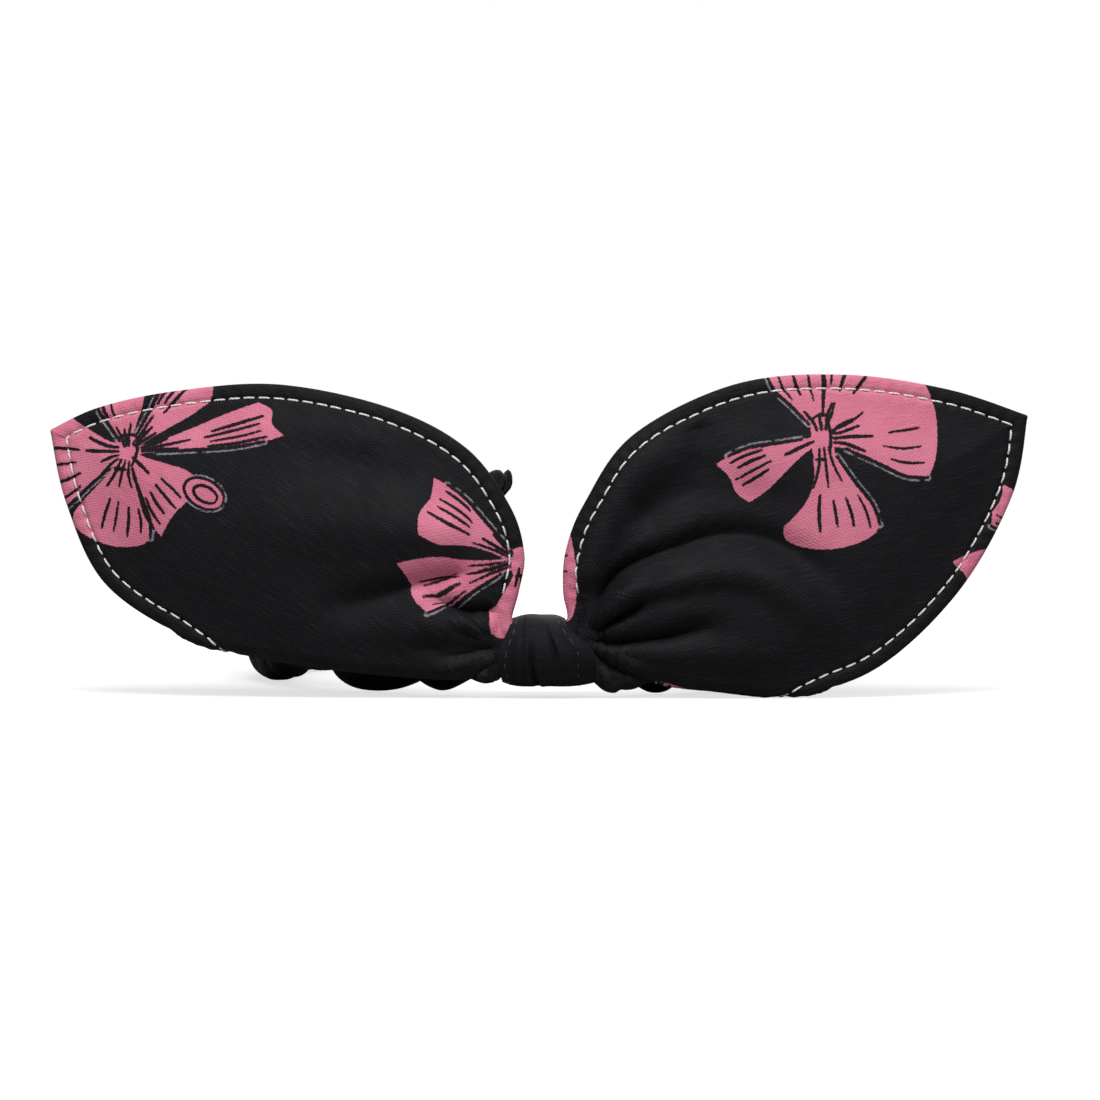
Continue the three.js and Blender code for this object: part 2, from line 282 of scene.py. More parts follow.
def settle_as_cloth(grid, pinned, growth, frames):
    """Lets a grid of points settle as cloth that has grown where growth says, and returns the new grid.

    It runs larger than life, where the solver is at its best. The last row is one point, the tip.
    """
    rows, columns = grid.shape[:2]
    body = grid[:-1].reshape(-1, 3)
    tip = grid[-1].mean(axis=0)
    points = np.vstack([body, tip]) * MM * CLOTH_SCALE
    faces = grid_faces(rows - 1, columns).tolist()
    last = len(points) - 1
    start = (rows - 2) * columns
    faces += [[start + j, last, start + j + 1] for j in range(columns - 1)]
    mesh = bpy.data.meshes.new("settling")
    mesh.from_pydata(points.tolist(), [], faces)
    cloth = in_scene(bpy.data.objects.new("settling", mesh))
    for name, values, at_tip in (("pins", pinned, 1.0), ("grown", growth, 0.0)):
        group = cloth.vertex_groups.new(name=name)
        for k, value in enumerate(np.append(values[:-1].ravel(), at_tip)):
            if value > 0.001:
                group.add([k], float(value), "REPLACE")
    modifier = cloth.modifiers.new("Cloth", "CLOTH")
    for key, value in CLOTH.items():
        setattr(modifier.settings, key, value)
    modifier.settings.vertex_group_mass = "pins"
    modifier.settings.vertex_group_shrink = "grown"
    modifier.settings.effector_weights.gravity = 0
    modifier.collision_settings.use_collision = False
    modifier.point_cache.frame_start = 1
    modifier.point_cache.frame_end = frames
    scene = bpy.context.scene
    for number in range(1, frames + 1):
        scene.frame_set(number)
    settled = cloth.evaluated_get(bpy.context.evaluated_depsgraph_get())
    result = np.empty(len(points) * 3)
    settled.data.vertices.foreach_get("co", result)
    result = result.reshape(-1, 3) / MM / CLOTH_SCALE
    bpy.data.objects.remove(cloth)
    bpy.data.meshes.remove(mesh)
    scene.frame_set(1)
    out = np.empty_like(grid)
    out[:-1] = result[:-1].reshape(rows - 1, columns, 3)
    out[-1] = result[-1]
    return out


# ---- the print: a ribbon bow made of flaring ribbons round a small knot ----
INK_WIDTH, RIM_WIDTH = 0.34, 0.28
FAR_FROM_PRINT = 9.0


def turned(points, degrees):
    """2-D points turned about the origin."""
    p = np.asarray(points, float)
    c, s = math.cos(math.radians(degrees)), math.sin(math.radians(degrees))
    return np.stack([p[..., 0] * c - p[..., 1] * s, p[..., 0] * s + p[..., 1] * c], axis=-1)


class Motif:
    """Outlines and brush strokes of one printed bow, in flat millimetres as seen from the panel's front."""

    def __init__(self, centre, turn=0.0, seed=0):
        self.centre = np.array(centre, float)
        self.turn = turn
        self.random = np.random.default_rng(seed)
        self.pink = []
        self.gaps = []
        self.ink = []
        self.edges = []

    def place(self, points, angle):
        """Points round the motif's centre, turned by the angle, on the panel."""
        return self.centre + turned(points, self.turn + angle)

    def stroke(self, points, angle, width=1.0):
        """A brush stroke through the points, as wide as the ink's usual width times the given one."""
        self.ink.append((smooth_curve(self.place(points, angle), 9), INK_WIDTH * width))

    def knot(self, angle, length, width):
        """The ribbon's own little knot: a soft bar with a stroke down one side and across each end."""
        turn = np.linspace(0, 2 * math.pi, 20, endpoint=False)
        x = np.sign(np.cos(turn)) * np.abs(np.cos(turn)) ** 0.5 * length / 2
        y = np.sign(np.sin(turn)) * np.abs(np.sin(turn)) ** 0.7 * width / 2
        self.pink.append(self.place(np.stack([x, y], axis=1), angle))
        for shares in ([[-0.34, -0.28], [0, -0.36], [0.36, -0.3]], [[0.45, -0.35], [0.5, 0], [0.43, 0.32]],
                       [[-0.46, -0.1], [-0.44, 0.34]]):
            self.stroke(np.array(shares) * [length, width], angle)

    def ribbon(self, angle, length, width, end="cut", bow=0.0, lines=4, side=1, root_lines=3):
        """One ribbon that flares out from the knot. A round end is a loop; a cut end is a tail."""
        def bent(s, w):
            return [s * length, w * width / 2 + bow * s * s]

        flare = [(0.0, 0.16), (0.2, 0.25), (0.45, 0.55), (0.72, 0.9), (0.93, 1.0)]
        upper = [bent(s, w) for s, w in flare]
        lower = [bent(s, -w) for s, w in flare]
        if end == "round":
            tip = [bent(1.05, 0.75), bent(1.12, 0.1), bent(1.06, -0.62)]
            outline = smooth_curve(upper + tip + lower[::-1], 60)
        else:
            corner = bent(1.07, -1.0)
            tip = smooth_curve([upper[-1], bent(1.01, 0.42), bent(1.0, -0.3), corner], 12)
            back = smooth_curve([corner] + lower[::-1], 18)
            outline = np.vstack([smooth_curve(upper, 16), tip, back])
        self.pink.append(self.place(outline, angle))
        # A bundle of strokes towards the end, and short ones out of the knot.
        for k in range(lines):
            w = side * (0.78 - 0.34 * k) + self.random.uniform(-0.03, 0.03)
            near = self.random.uniform(0.52, 0.64)
            far = self.random.uniform(0.88, 0.97)
            flare_near = np.interp(near, [f[0] for f in flare], [f[1] for f in flare])
            self.stroke([bent(near, w * flare_near), bent((near + far) / 2, w * 0.93), bent(far, w)], angle,
                        self.random.uniform(0.8, 1.1))
        for k in range(root_lines):
            w = (k + 0.5) / root_lines * 1.5 - 0.75
            far = self.random.uniform(0.28, 0.5)
            self.stroke([bent(0.1, w * 0.2), bent(far * 0.6, w * 0.32), bent(far, w * 0.62)], angle,
                        self.random.uniform(0.8, 1.15))
        edge = [bent(s, side * 1.02 * w) for s, w in flare[1:]]
        self.edges.append((smooth_curve(self.place(edge, angle), 16), INK_WIDTH * 1.15))

    def gap(self, angle, start, length, width):
        """A leaf of bare ground between two ribbons."""
        t = np.linspace(0, 1, 12)
        half = np.sin(math.pi * t) ** 0.8 * width / 2
        x = start + t * length
        upper = np.stack([x, half], axis=1)
        lower = np.stack([x[::-1], -half[::-1]], axis=1)
        self.gaps.append(self.place(np.vstack([upper, lower]), angle))

    def ring(self, angle, distance, length, width):
        """A small curled loop seen end on: an oval with a stroke round its hollow."""
        turn = np.linspace(0, 2 * math.pi, 25)
        oval = np.stack([distance + np.cos(turn) * length / 2, np.sin(turn) * width / 2], axis=1)
        hollow = np.stack([distance + 0.3 + np.cos(turn) * length * 0.3, np.sin(turn) * width * 0.27], axis=1)
        self.pink.append(self.place(oval[:-1], angle))
        self.ink.append((self.place(hollow, angle), INK_WIDTH))
        self.edges.append((self.place(oval, angle), INK_WIDTH * 0.9))


def filled(points, outline):
    """Distances to an outline, below zero inside it."""
    distance, _ = distance_to_line(points, np.vstack([outline, outline[:1]]))
    return np.where(inside(points, outline), -distance, distance)


def brushed(width):
    """Distances to a brush stroke, which is widest in its middle."""
    def distances(points, line):
        distance, along = distance_to_line(points, line)
        return distance - width * (0.72 + 0.28 * np.sin(math.pi * along))
    return distances


def beside(width):
    """Distances to a band of even width along a line."""
    return lambda points, line: distance_to_line(points, line)[0] - width


def print_fields(flat, motifs):
    """Signed distances in millimetres, below zero inside: the pink ground, the ink and the pale rim."""
    pink, ink, rim = np.full((3, len(flat)), FAR_FROM_PRINT)

    def lower(field, line, distance_from):
        """Takes a line's distances into a field, for the points near the line."""
        near = np.all((flat > line.min(0) - 3) & (flat < line.max(0) + 3), axis=1)
        field[near] = np.minimum(field[near], distance_from(flat[near], line))

    for motif in motifs:
        for outline in motif.pink:
            lower(pink, outline, filled)
        for outline in motif.gaps:
            lower(ink, outline, filled)
        for line, width in motif.ink + motif.edges:
            lower(ink, line, brushed(width))
        for line, width in motif.edges:
            lower(rim, line, beside(width + RIM_WIDTH))
    return {"print_pink": pink, "print_ink": ink, "print_rim": rim}


def left_front_print():
    """A bow at the left ear's tip, cut off by its edge, and one that comes out of the knot."""
    tip = Motif((-78.1, 46.0), seed=3)
    tip.knot(80, 7.0, 5.0)
    tip.ribbon(10, 27.5, 7.5, "cut", bow=1.5, lines=4, side=-1)
    tip.ribbon(48, 19, 9, "round", lines=3)
    tip.ribbon(100, 12, 9, "round", lines=2)
    tip.ribbon(184, 17, 20, "round", lines=4, root_lines=4)
    tip.ribbon(258, 15.8, 15.5, "round", lines=4, side=1, root_lines=3)
    tip.ribbon(318, 14.5, 12, "cut", bow=-1, lines=4, side=-1, root_lines=1)
    tip.ring(332, 16.6, 8.2, 5.2)
    inner = Motif((-4.6, 25.6), seed=8)
    inner.knot(100, 6.0, 4.2)
    inner.ribbon(150, 20.5, 10.5, "cut", lines=4, side=-1)
    inner.ribbon(194, 21.0, 11.0, "cut", lines=4, side=1)
    inner.ribbon(259, 13.4, 6.0, "round", bow=-1.0, lines=0, side=1, root_lines=1)
    inner.gap(171, 3.5, 15, 2.6)
    return [tip, inner]


def right_front_print():
    """A bow high on the right ear, and ends of others at its edge, beside the knot and below."""
    upper = Motif((51.9, 48.6), seed=5)
    upper.knot(92, 9.0, 4.2)
    upper.ribbon(8, 19.5, 21, "round", bow=1.0, lines=3, side=-1, root_lines=4)
    upper.ribbon(96, 14, 17, "round", lines=4, root_lines=3)
    upper.ribbon(52, 17, 19, "round", lines=3, root_lines=2)
    upper.ribbon(203, 18.5, 9.5, "cut", bow=1.2, lines=4, side=-1, root_lines=1)
    upper.ribbon(276, 18.5, 17, "round", lines=4, side=1, root_lines=3)
    upper.gap(246, 4.5, 13.5, 4.4)
    edge = Motif((96.5, 29.5), seed=12)
    edge.ribbon(150, 13.5, 8, "cut", lines=2)
    edge.ribbon(205, 19, 10, "cut", lines=3)
    inner = Motif((-6.0, 22.5), seed=14)
    inner.ribbon(2, 11, 17, "round", lines=3, root_lines=2)
    low = Motif((23.5, -2.5), seed=17)
    low.ribbon(70, 5.2, 7, "cut", lines=3)
    return [upper, edge, inner, low]


def whole_bows(*places):
    """A back panel's print: whole bows, each from its centre, turn and seed."""
    motifs = [Motif((x, y), turn, seed) for x, y, turn, seed in places]
    for motif in motifs:
        motif.knot(90, 8, 4.4)
        motif.ribbon(15, 18, 17, "round", lines=3, root_lines=4)
        motif.ribbon(165, 17, 16, "round", lines=3, root_lines=4, side=-1)
        motif.ribbon(238, 19, 10, "cut", lines=4, side=-1)
        motif.ribbon(300, 20, 12, "cut", lines=4)
    return motifs


# ---- materials ----
class Nodes:
    """Short ways to add and link shader nodes."""

    def __init__(self, tree):
        self.tree = tree

    def add(self, kind, inputs=None, **settings):
        """A node with its inputs set to values or linked from other nodes' outputs."""
        node = self.tree.nodes.new(kind)
        for key, value in settings.items():
            setattr(node, key, value)
        for key, value in (inputs or {}).items():
            if isinstance(value, bpy.types.NodeSocket):
                self.tree.links.new(value, node.inputs[key])
            else:
                node.inputs[key].default_value = value
        return node

    def math(self, operation, a, b=0.0):
        return self.add("ShaderNodeMath", {0: a, 1: b}, operation=operation).outputs[0]

    def noise(self, place, scale, detail, roughness=0.5):
        return self.add("ShaderNodeTexNoise", {"Vector": place, "Scale": scale, "Detail": detail,
                                               "Roughness": roughness}).outputs["Fac"]

    def ramp(self, value, low, high, to_low=0.0, to_high=1.0):
        """The value taken from low..high to to_low..to_high, and held at the ends."""
        node = self.add("ShaderNodeMapRange", {"Value": value, "From Min": low, "From Max": high,
                                               "To Min": to_low, "To Max": to_high})
        return node.outputs["Result"]

    def mix(self, factor, a, b):
        """The colour that goes from a to b as the factor goes from 0 to 1."""
        node = self.add("ShaderNodeMix", data_type="RGBA")
        for key, value in (("Factor", factor), ("A", a), ("B", b)):
            socket = next(s for s in node.inputs if s.name == key and s.enabled)
            if isinstance(value, bpy.types.NodeSocket):
                self.tree.links.new(value, socket)
            else:
                socket.default_value = value
        return next(s for s in node.outputs if s.enabled)

    def cloth(self, turn=0.0, stretch=(1, 1, 1)):
        """The flat cloth's own coordinates in millimetres."""
        uv = self.add("ShaderNodeUVMap", uv_map="cloth").outputs["UV"]
        mapping = self.add("ShaderNodeMapping", {"Vector": uv, "Rotation": (0, 0, turn), "Scale": stretch})
        return mapping.outputs["Vector"]


class Finish(Nodes):
    """A new material built on the Principled shader."""

    def __init__(self, name):
        self.material = bpy.data.materials.new(name)
        self.material.use_nodes = True
        super().__init__(self.material.node_tree)
        self.shader = self.tree.nodes["Principled BSDF"]

    def set(self, **values):
        """Sets the shader's inputs, named with _ for each space, to a number, a colour or a node's output."""
        for key, value in values.items():
            socket = self.shader.inputs[key.replace("_", " ")]
            if isinstance(value, bpy.types.NodeSocket):
                self.tree.links.new(value, socket)
            else:
                socket.default_value = value

    def bump(self, height, strength, distance, below=None):
        """A normal that height raises by distance in metres, on top of the normal below."""
        inputs = {"Height": height, "Strength": strength, "Distance": distance}
        if below:
            inputs["Normal"] = below
        return self.add("ShaderNodeBump", inputs).outputs["Normal"]


def weave_height(n, turn, pitch):
    """Crossed threads as a height, from two bands of waves, which repeat 3.18 times a unit at scale 1."""
    settings = {"Vector": n.cloth(turn), "Scale": 1 / pitch / 3.18, "Distortion": 0.6, "Detail": 1.0,
                "Detail Scale": 0.6}
    heights = [n.add("ShaderNodeTexWave", settings, bands_direction=direction).outputs["Fac"]
               for direction in ("X", "Y")]
    return n.math("MULTIPLY", *heights)


PRINT_SOFTNESS = 0.07


def printed_cotton(name, printed=True):
    """Satin-faced black cotton: fine threads with a painted sheen and painted shade, slubs, a soft sheen and,
    where asked, the pink print.
    """
    n = Finish(name)
    grain = n.noise(n.cloth(), 2.6, 3.0)
    threads = n.math("MULTIPLY", weave_height(n, 0.78, 0.5), n.ramp(grain, 0.3, 0.62, 0.25, 1.25))
    slubs = n.noise(n.cloth(stretch=(0.2, 4.6, 1)), 1.0, 3.0)
    mottle = n.noise(n.cloth(), 0.09, 3.0)
    ground = n.mix(n.ramp(slubs, 0.52, 0.74), (0.0032, 0.0032, 0.0042, 1), (0.0145, 0.0140, 0.0175, 1))
    # Painted sheen: the raised weave threads turn lighter and bluish, as if they caught the light.
    ground = n.mix(n.ramp(threads, 0.15, 0.9, 0.0, 0.6), ground, (0.0130, 0.0130, 0.0185, 1))
    colour = ground
    if printed:
        shift = n.ramp(n.noise(n.cloth(), 1.7, 4.0), 0.3, 0.7, -0.09, 0.09)

        def mask(key):
            """One inside the printed shape and zero outside it, with a soft and slightly ragged edge."""
            value = n.add("ShaderNodeAttribute", attribute_name=key).outputs["Fac"]
            return n.ramp(n.math("ADD", value, shift), PRINT_SOFTNESS, -PRINT_SOFTNESS)

        pink = n.mix(n.ramp(slubs, 0.35, 0.75), (0.56, 0.145, 0.225, 1), (0.70, 0.235, 0.33, 1))
        # Painted shade: the pink goes darker in the low places between the raised weave threads.
        pink = n.mix(n.ramp(threads, 0.1, 0.8, 0.4, 0.0), pink, (0.42, 0.09, 0.15, 1))
        pink = n.mix(n.ramp(mottle, 0.4, 0.7, 0.0, 0.3), pink, (0.72, 0.27, 0.37, 1))
        pale = n.mix(n.ramp(slubs, 0.3, 0.7), (0.11, 0.09, 0.115, 1), (0.30, 0.26, 0.30, 1))
        broken = n.ramp(n.noise(n.cloth(), 0.55, 2.0), 0.38, 0.5)
        colour = n.mix(n.math("MULTIPLY", mask("print_rim"), broken), colour, pale)
        colour = n.mix(mask("print_pink"), colour, pink)
        colour = n.mix(mask("print_ink"), colour, (0.0065, 0.005, 0.0075, 1))
    n.set(Base_Color=colour, Roughness=n.ramp(mottle, 0.3, 0.7, 0.64, 0.74), Specular_IOR_Level=0.14,
          Sheen_Weight=0.02, Sheen_Roughness=0.35,
          Normal=n.bump(slubs, 0.5, 0.00012, below=n.bump(threads, 0.7, 0.0001)))
    return n.material


def sewing_thread(name, pale, dark):
    """Two-ply thread: a fine twist along it, and a little fluff in its colour."""
    n = Finish(name)
    place = n.add("ShaderNodeTexCoord").outputs["Object"]
    twist = n.add("ShaderNodeTexWave", {"Vector": place, "Scale": 900.0, "Distortion": 2.0},
                  bands_direction="DIAGONAL").outputs["Fac"]
    fluff = n.noise(place, 1500.0, 3.0)
    n.set(Base_Color=n.mix(n.ramp(n.math("MULTIPLY", twist, fluff), 0.05, 0.5), dark, pale),
          Roughness=n.ramp(fluff, 0.3, 0.7, 0.5, 0.75), Specular_IOR_Level=0.3,
          Normal=n.bump(twist, 0.6, 0.00005))
    return n.material


def felted(name, pale, dark, scale):
    """A plain inner textile: non-woven interlining or braided elastic."""
    n = Finish(name)
    fibres = n.noise(n.add("ShaderNodeTexCoord").outputs["Object"], scale, 6.0, 0.7)
    n.set(Base_Color=n.mix(n.ramp(fibres, 0.3, 0.7), dark, pale),
          Roughness=n.ramp(fibres, 0.3, 0.7, 0.95, 0.75), Specular_IOR_Level=0.2,
          Normal=n.bump(fibres, 0.5, 0.0001))
    return n.material


# ---- the ears ----
# Folds as (route over the flat leaf, height towards the viewer, width where it starts, width where it ends).
RIGHT_FOLDS = [
    ([(10.2, 17.5), (12, 21.5), (16, 25), (24, 28), (33, 30.5), (42.6, 29), (51, 23.5), (58, 15)],
     -2.9, 1.0, 4.6),
    ([(16, 32), (27, 38.5), (40, 37), (52, 29)], -2.3, 4.5, 7.0),
    ([(9.8, 14.6), (15, 18.9), (24, 21.6), (33, 23.4), (42, 21.8), (50, 15.5), (56, 7)], 2.0, 0.9, 4.6),
    ([(20, 15), (32, 16), (44, 12), (56, 5)], 1.0, 3.5, 9.0),
    ([(28.6, 51.5), (30.2, 46), (29, 40)], -0.8, 2.4, 4.0),
    ([(7.2, 20), (11.5, 33), (20, 45), (32, 53)], 2.3, 2.2, 6.0),
    ([(9.2, 13.6), (13.4, 17.6), (17.6, 21.0), (20.6, 22.6)], 1.5, 0.7, 1.6),
    ([(9.6, 12.4), (14.8, 15.6), (19.6, 18.6)], -2.1, 0.7, 1.7),
    ([(10.5, 11.7), (18, 13.6), (26, 15.4)], 0.8, 0.7, 2.6),
    ([(8.6, 10.6), (16, 10.4), (24, 12.0), (36, 14.4)], -2.4, 0.8, 2.7),
    ([(9, 8.6), (18, 7.4), (32, 8.2), (50, 8)], 1.2, 1.0, 4.6),
    ([(8.4, 9.0), (13, 6.0), (19, 3.9), (28, 2.6)], -1.3, 0.8, 1.2),
]
LEFT_FOLDS = [
    ([(9.2, 16.4), (12.6, 16.2), (17, 16.4), (24, 20)], -2.2, 1.1, 2.2),
    ([(9.2, 12.5), (14, 14), (21, 13.4), (33, 11.5)], 0.9, 1.1, 3.6),
    ([(15, 23.5), (23, 21.6), (32, 18.6), (46, 15.5)], -2.2, 1.4, 4.6),
    ([(9, 9.2), (16, 9.0), (27, 9.6)], -1.0, 0.9, 2.0),
    ([(9, 6.4), (18, 6.2), (30, 6.8)], 0.5, 1.0, 2.4),
    ([(14, 31), (26, 31), (42, 32), (66, 34)], 1.8, 4.0, 9.0),
    ([(30, 48), (44, 50.5), (60, 50)], 0.7, 2.6, 4.0),
    ([(24, 40), (36, 43), (50, 43.5)], -0.5, 3.0, 4.0),
]


def fold_heights(flat, folds):
    """How far the folds push each place of the flat leaf towards the viewer."""
    spots = flat.reshape(-1, 2)
    heights = np.zeros(len(spots))
    for route, height, start_width, end_width in folds:
        across, along = distance_to_line(spots, smooth_curve(route, 30))
        wide = start_width + (end_width - start_width) * along
        fade = window(-0.03, 0.1, 0.62, 1.0, along)
        heights += height * np.exp(-((across / wide) ** 2)) * fade
    return heights.reshape(flat.shape[:-1])


# The lower edge beside the knot rolls under and back, so its stitches don't show from the front.
ROLL = {"radius": 1.8, "tail": 4.8, "from": (8.5, 16.0), "below": 20}


def roll_share(out, fade):
    """How much of the roll there is at a distance out from the knot: it grows over the neck, then fades."""
    return window(*ROLL["from"], *fade, out)


def roll_under(flat, silhouette, fade):
    """Carries the cloth below the silhouette round a small roll: its new height, and how far back it goes."""
    out, up = flat[..., 0], flat[..., 1]
    share = roll_share(out, fade)
    crest = np.interp(out, silhouette[:, 0], silhouette[:, 1]) + 1.0 * share
    radius = np.maximum(ROLL["radius"] * share, 1e-4)
    below = np.where(up < ROLL["below"], crest + radius - up, -1.0)
    turn = np.clip(below / radius, 0, math.pi)
    beyond = np.maximum(below - math.pi * radius, 0)
    rolled = (below > 0) & (share > 0.01)
    height = np.where(rolled, crest + radius - radius * np.sin(turn) + beyond, up)
    back = np.where(rolled, radius * (1 - np.cos(turn)), 0.0)
    return height, back


def ear_flat(top_line, bottom_line, rows, columns):
    """The ear's flat grid: rows go from the knot to the tip, columns from the lower edge to the upper."""
    top = resample(top_line, rows)
    bottom = resample(bottom_line, rows)
    t = np.linspace(0, 1, columns)
    # The columns stand closer together towards the edges, where the rim curves.
    v = (t - 0.06 * np.sin(2 * math.pi * t))[None, :, None]
    return bottom[:, None] * (1 - v) + top[:, None] * v


def calm(before, after, share, rounds=40):
    """Evens out how far the cloth moved, so that it doesn't crumple where share is near one."""
    moved = after - before
    for _ in range(rounds):
        around = (moved[:-2, 1:-1] + moved[2:, 1:-1] + moved[1:-1, :-2] + moved[1:-1, 2:]) / 4
        moved[1:-1, 1:-1] += share[1:-1, 1:-1, None] * (around - moved[1:-1, 1:-1])
    return before + moved


def neck_reach(flat):
    """Each place's distance from the middle of the neck, and its direction from there above the level."""
    out, up = flat[..., 0] - NECK[0], flat[..., 1] - NECK[1]
    return np.hypot(out, up), np.arctan2(up, out)


def ear_height(flat, edge_distance, folds):
    """The ear's middle surface before it settles, as heights towards the viewer."""
    reach, angle = neck_reach(flat)
    gathers = 0.35 * np.sin(12 * angle + 0.6) + 0.2 * np.sin(19 * angle + 2.0)
    heights = gathers * window(3, 7, 8, 20, reach) * (1 - smooth(0.8, 1.3, angle))
    heights += fold_heights(flat, folds)
    heights += TIP_LEAN * smooth(20, 95, reach) ** 1.5
    heights += LEAF_SWELL * smooth(0, 20, edge_distance)
    return heights


class Ear:
    """One ear: its flat leaf, the settled surface in its middle, and the pieces sewn up from them.

    The flat leaf is a grid of [distance out from the knot, height]. Its middle surface, its normals towards
    the viewer and half its thickness are grids of the same size.
    """

    def __init__(self, side, upper, lower, folds, roll_fade, thread_turn, looks):
        self.side = side
        self.name = "left_ear" if side < 0 else "right_ear"
        self.looks = looks
        self.pieces = []
        self.top_line = smooth_curve(upper, 400)
        silhouette = smooth_curve(lower, 400)
        self.bottom_line = silhouette.copy()
        self.bottom_line[:, 1] -= ROLL["tail"] * roll_share(silhouette[:, 0], roll_fade)
        coarse = ear_flat(self.top_line, self.bottom_line, CLOTH_ROWS, CLOTH_COLUMNS)
        up, back = roll_under(coarse, silhouette, roll_fade)
        settled = self.settle(coarse, up, back - ear_height(coarse, self.edge_of(coarse)[0], folds))
        self.flat = upsample(coarse, PANEL_ROWS, PANEL_COLUMNS)
        self.middle = upsample(settled, PANEL_ROWS, PANEL_COLUMNS) * [side, 1, 1] + [0, EAR_Y, 0]
        self.normal = normals_of(self.middle)
        self.normal *= -np.sign(self.normal[..., 1:2].mean())
        self.edge, along_edge = self.edge_of(self.flat)
        self.half = half_thickness(self.edge, along_edge)
        self.seen = self.flat * [side, 1]
        self.threads = turned(self.seen, -thread_turn)

    def edge_of(self, flat):
        """Each place's distance from the leaf's edge, and how far along the edge the nearest point lies."""
        outline = np.vstack([resample(self.bottom_line, 130), resample(self.top_line, 130)[::-1]])
        distance, along = distance_to_line(flat.reshape(-1, 2), outline)
        shape = flat.shape[:-1]
        return distance.reshape(shape), along.reshape(shape) * distances_along(outline)[-1]

    def settle(self, coarse, up, back):
        """A coarse grid of [out, towards the back, up], settled as cloth.

        Its edge is held and the cloth round the neck has grown, so it ripples.
        """
        out = coarse[..., 0] * (1 + TIP_STRETCH * smooth(20, 95, coarse[..., 0]))
        grid = np.stack([out, back, up], axis=-1)
        pinned = np.zeros(coarse.shape[:2])
        pinned[0] = 1
        pinned[:, [0, -1]] = 1
        reach, _ = neck_reach(coarse)
        growth = 0.4 * window(6, 14, 16, 44, reach) + 0.05
        growth *= smooth(0, 9, self.edge_of(coarse)[0])
        settled = settle_as_cloth(grid, pinned, growth, 24)
        return calm(grid, settled, 1 - smooth(6, 16, reach))

    def add(self, made, node, slot):
        """Puts a piece in the place of the ear's CAD node of that name."""
        stand_for(made, f"{self.name}_{node}")
        self.pieces.append(made)
        return made

    def cloth(self, node, outer, inner, look, slot, keep, uv, step=1, fields=None):
        """A piece of cloth where keep is true, between two surfaces at their distances from the middle."""
        grids = [self.middle + self.normal * np.asarray(distance)[..., None] for distance in (outer, inner)]
        points = np.vstack([grid[::step, ::step].reshape(-1, 3) for grid in grids])
        uv = np.vstack([uv[::step, ::step].reshape(-1, 2)] * 2)
        cells = whole_cells(keep[::step, ::step]).ravel()
        faces = two_sided(grid_faces(*keep[::step, ::step].shape)[cells], len(points) // 2)
        made = make_object(f"{self.name}_{node}_cloth", points, faces, self.looks[look], uv, fields)
        return self.add(made, node, slot)

    def panel(self, node, way, motifs):
        """The front or back panel: way is 1 towards the viewer and -1 away."""
        inner = np.maximum(self.half - PANEL_CLOTH, 0)
        fields = print_fields(self.seen.reshape(-1, 2), motifs)
        doubled = {key: np.tile(value, 2) for key, value in fields.items()}
        everywhere = np.ones(self.half.shape, bool)
        return self.cloth(node, way * self.half, way * inner, "print", "printed_cotton", everywhere,
                          self.threads, fields=doubled)

    def layer(self, node, thickness, look, slot, keep, step=1):
        """A flat inner layer on the middle surface."""
        return self.cloth(node, thickness / 2, -thickness / 2, look, slot, keep, self.seen, step)

    def on_cloth(self, points, way, lift):
        """Flat [out, up] points carried onto one face of the ear, lifted off it by lift."""
        cells = self.flat.reshape(-1, 2)
        surface = self.middle + self.normal * (way * (self.half + lift))[..., None]
        result = []
        for p in points:
            k = int(np.argmin(((cells - p) ** 2).sum(axis=1)))
            i = min(max(k // PANEL_COLUMNS, 1), PANEL_ROWS - 3)
            j = min(max(k % PANEL_COLUMNS, 1), PANEL_COLUMNS - 2)

            def steps(grid):
                return (grid[i + 1, j] - grid[i - 1, j]) / 2, (grid[i, j + 1] - grid[i, j - 1]) / 2

            shares = np.linalg.solve(np.stack(steps(self.flat), axis=1), p - self.flat[i, j])
            a, b = np.clip(shares, -1.5, 1.5)
            down, across = steps(surface)
            result.append(surface[i, j] + a * down + b * across)
        return np.array(result)

    def topstitch(self, node, way):
        """The white stitches on one face, with the back's half a pitch along from the front's."""
        line = inset_line(self.top_line, self.bottom_line, STITCH["inset"])
        line = line[(line > STITCH_START).any(axis=1)]
        offset = 0 if way > 0 else STITCH["pitch"] / 2
        paths = stitch_paths(line, lambda p: self.on_cloth(p, way, 0.0),
                             lambda p: self.on_cloth(p, way, STITCH["lift"]), offset)
        made = thread_object(f"{self.name}_{node}_thread", paths, STITCH["radius"], self.looks["white"])
        self.add(made, node, "white_thread")

    def edge_seam(self):
        """The thread that joins the two panels, inside the rim."""
        line = resample(inset_line(self.top_line, self.bottom_line, SEAM["inset"]), 260)
        path = self.on_cloth(line, 0, 0)
        made = thread_object(f"{self.name}_edge_seam_thread", [path], SEAM["radius"], self.looks["black"],
                             sides=6)
        self.add(made, "edge_seam", "black_thread")

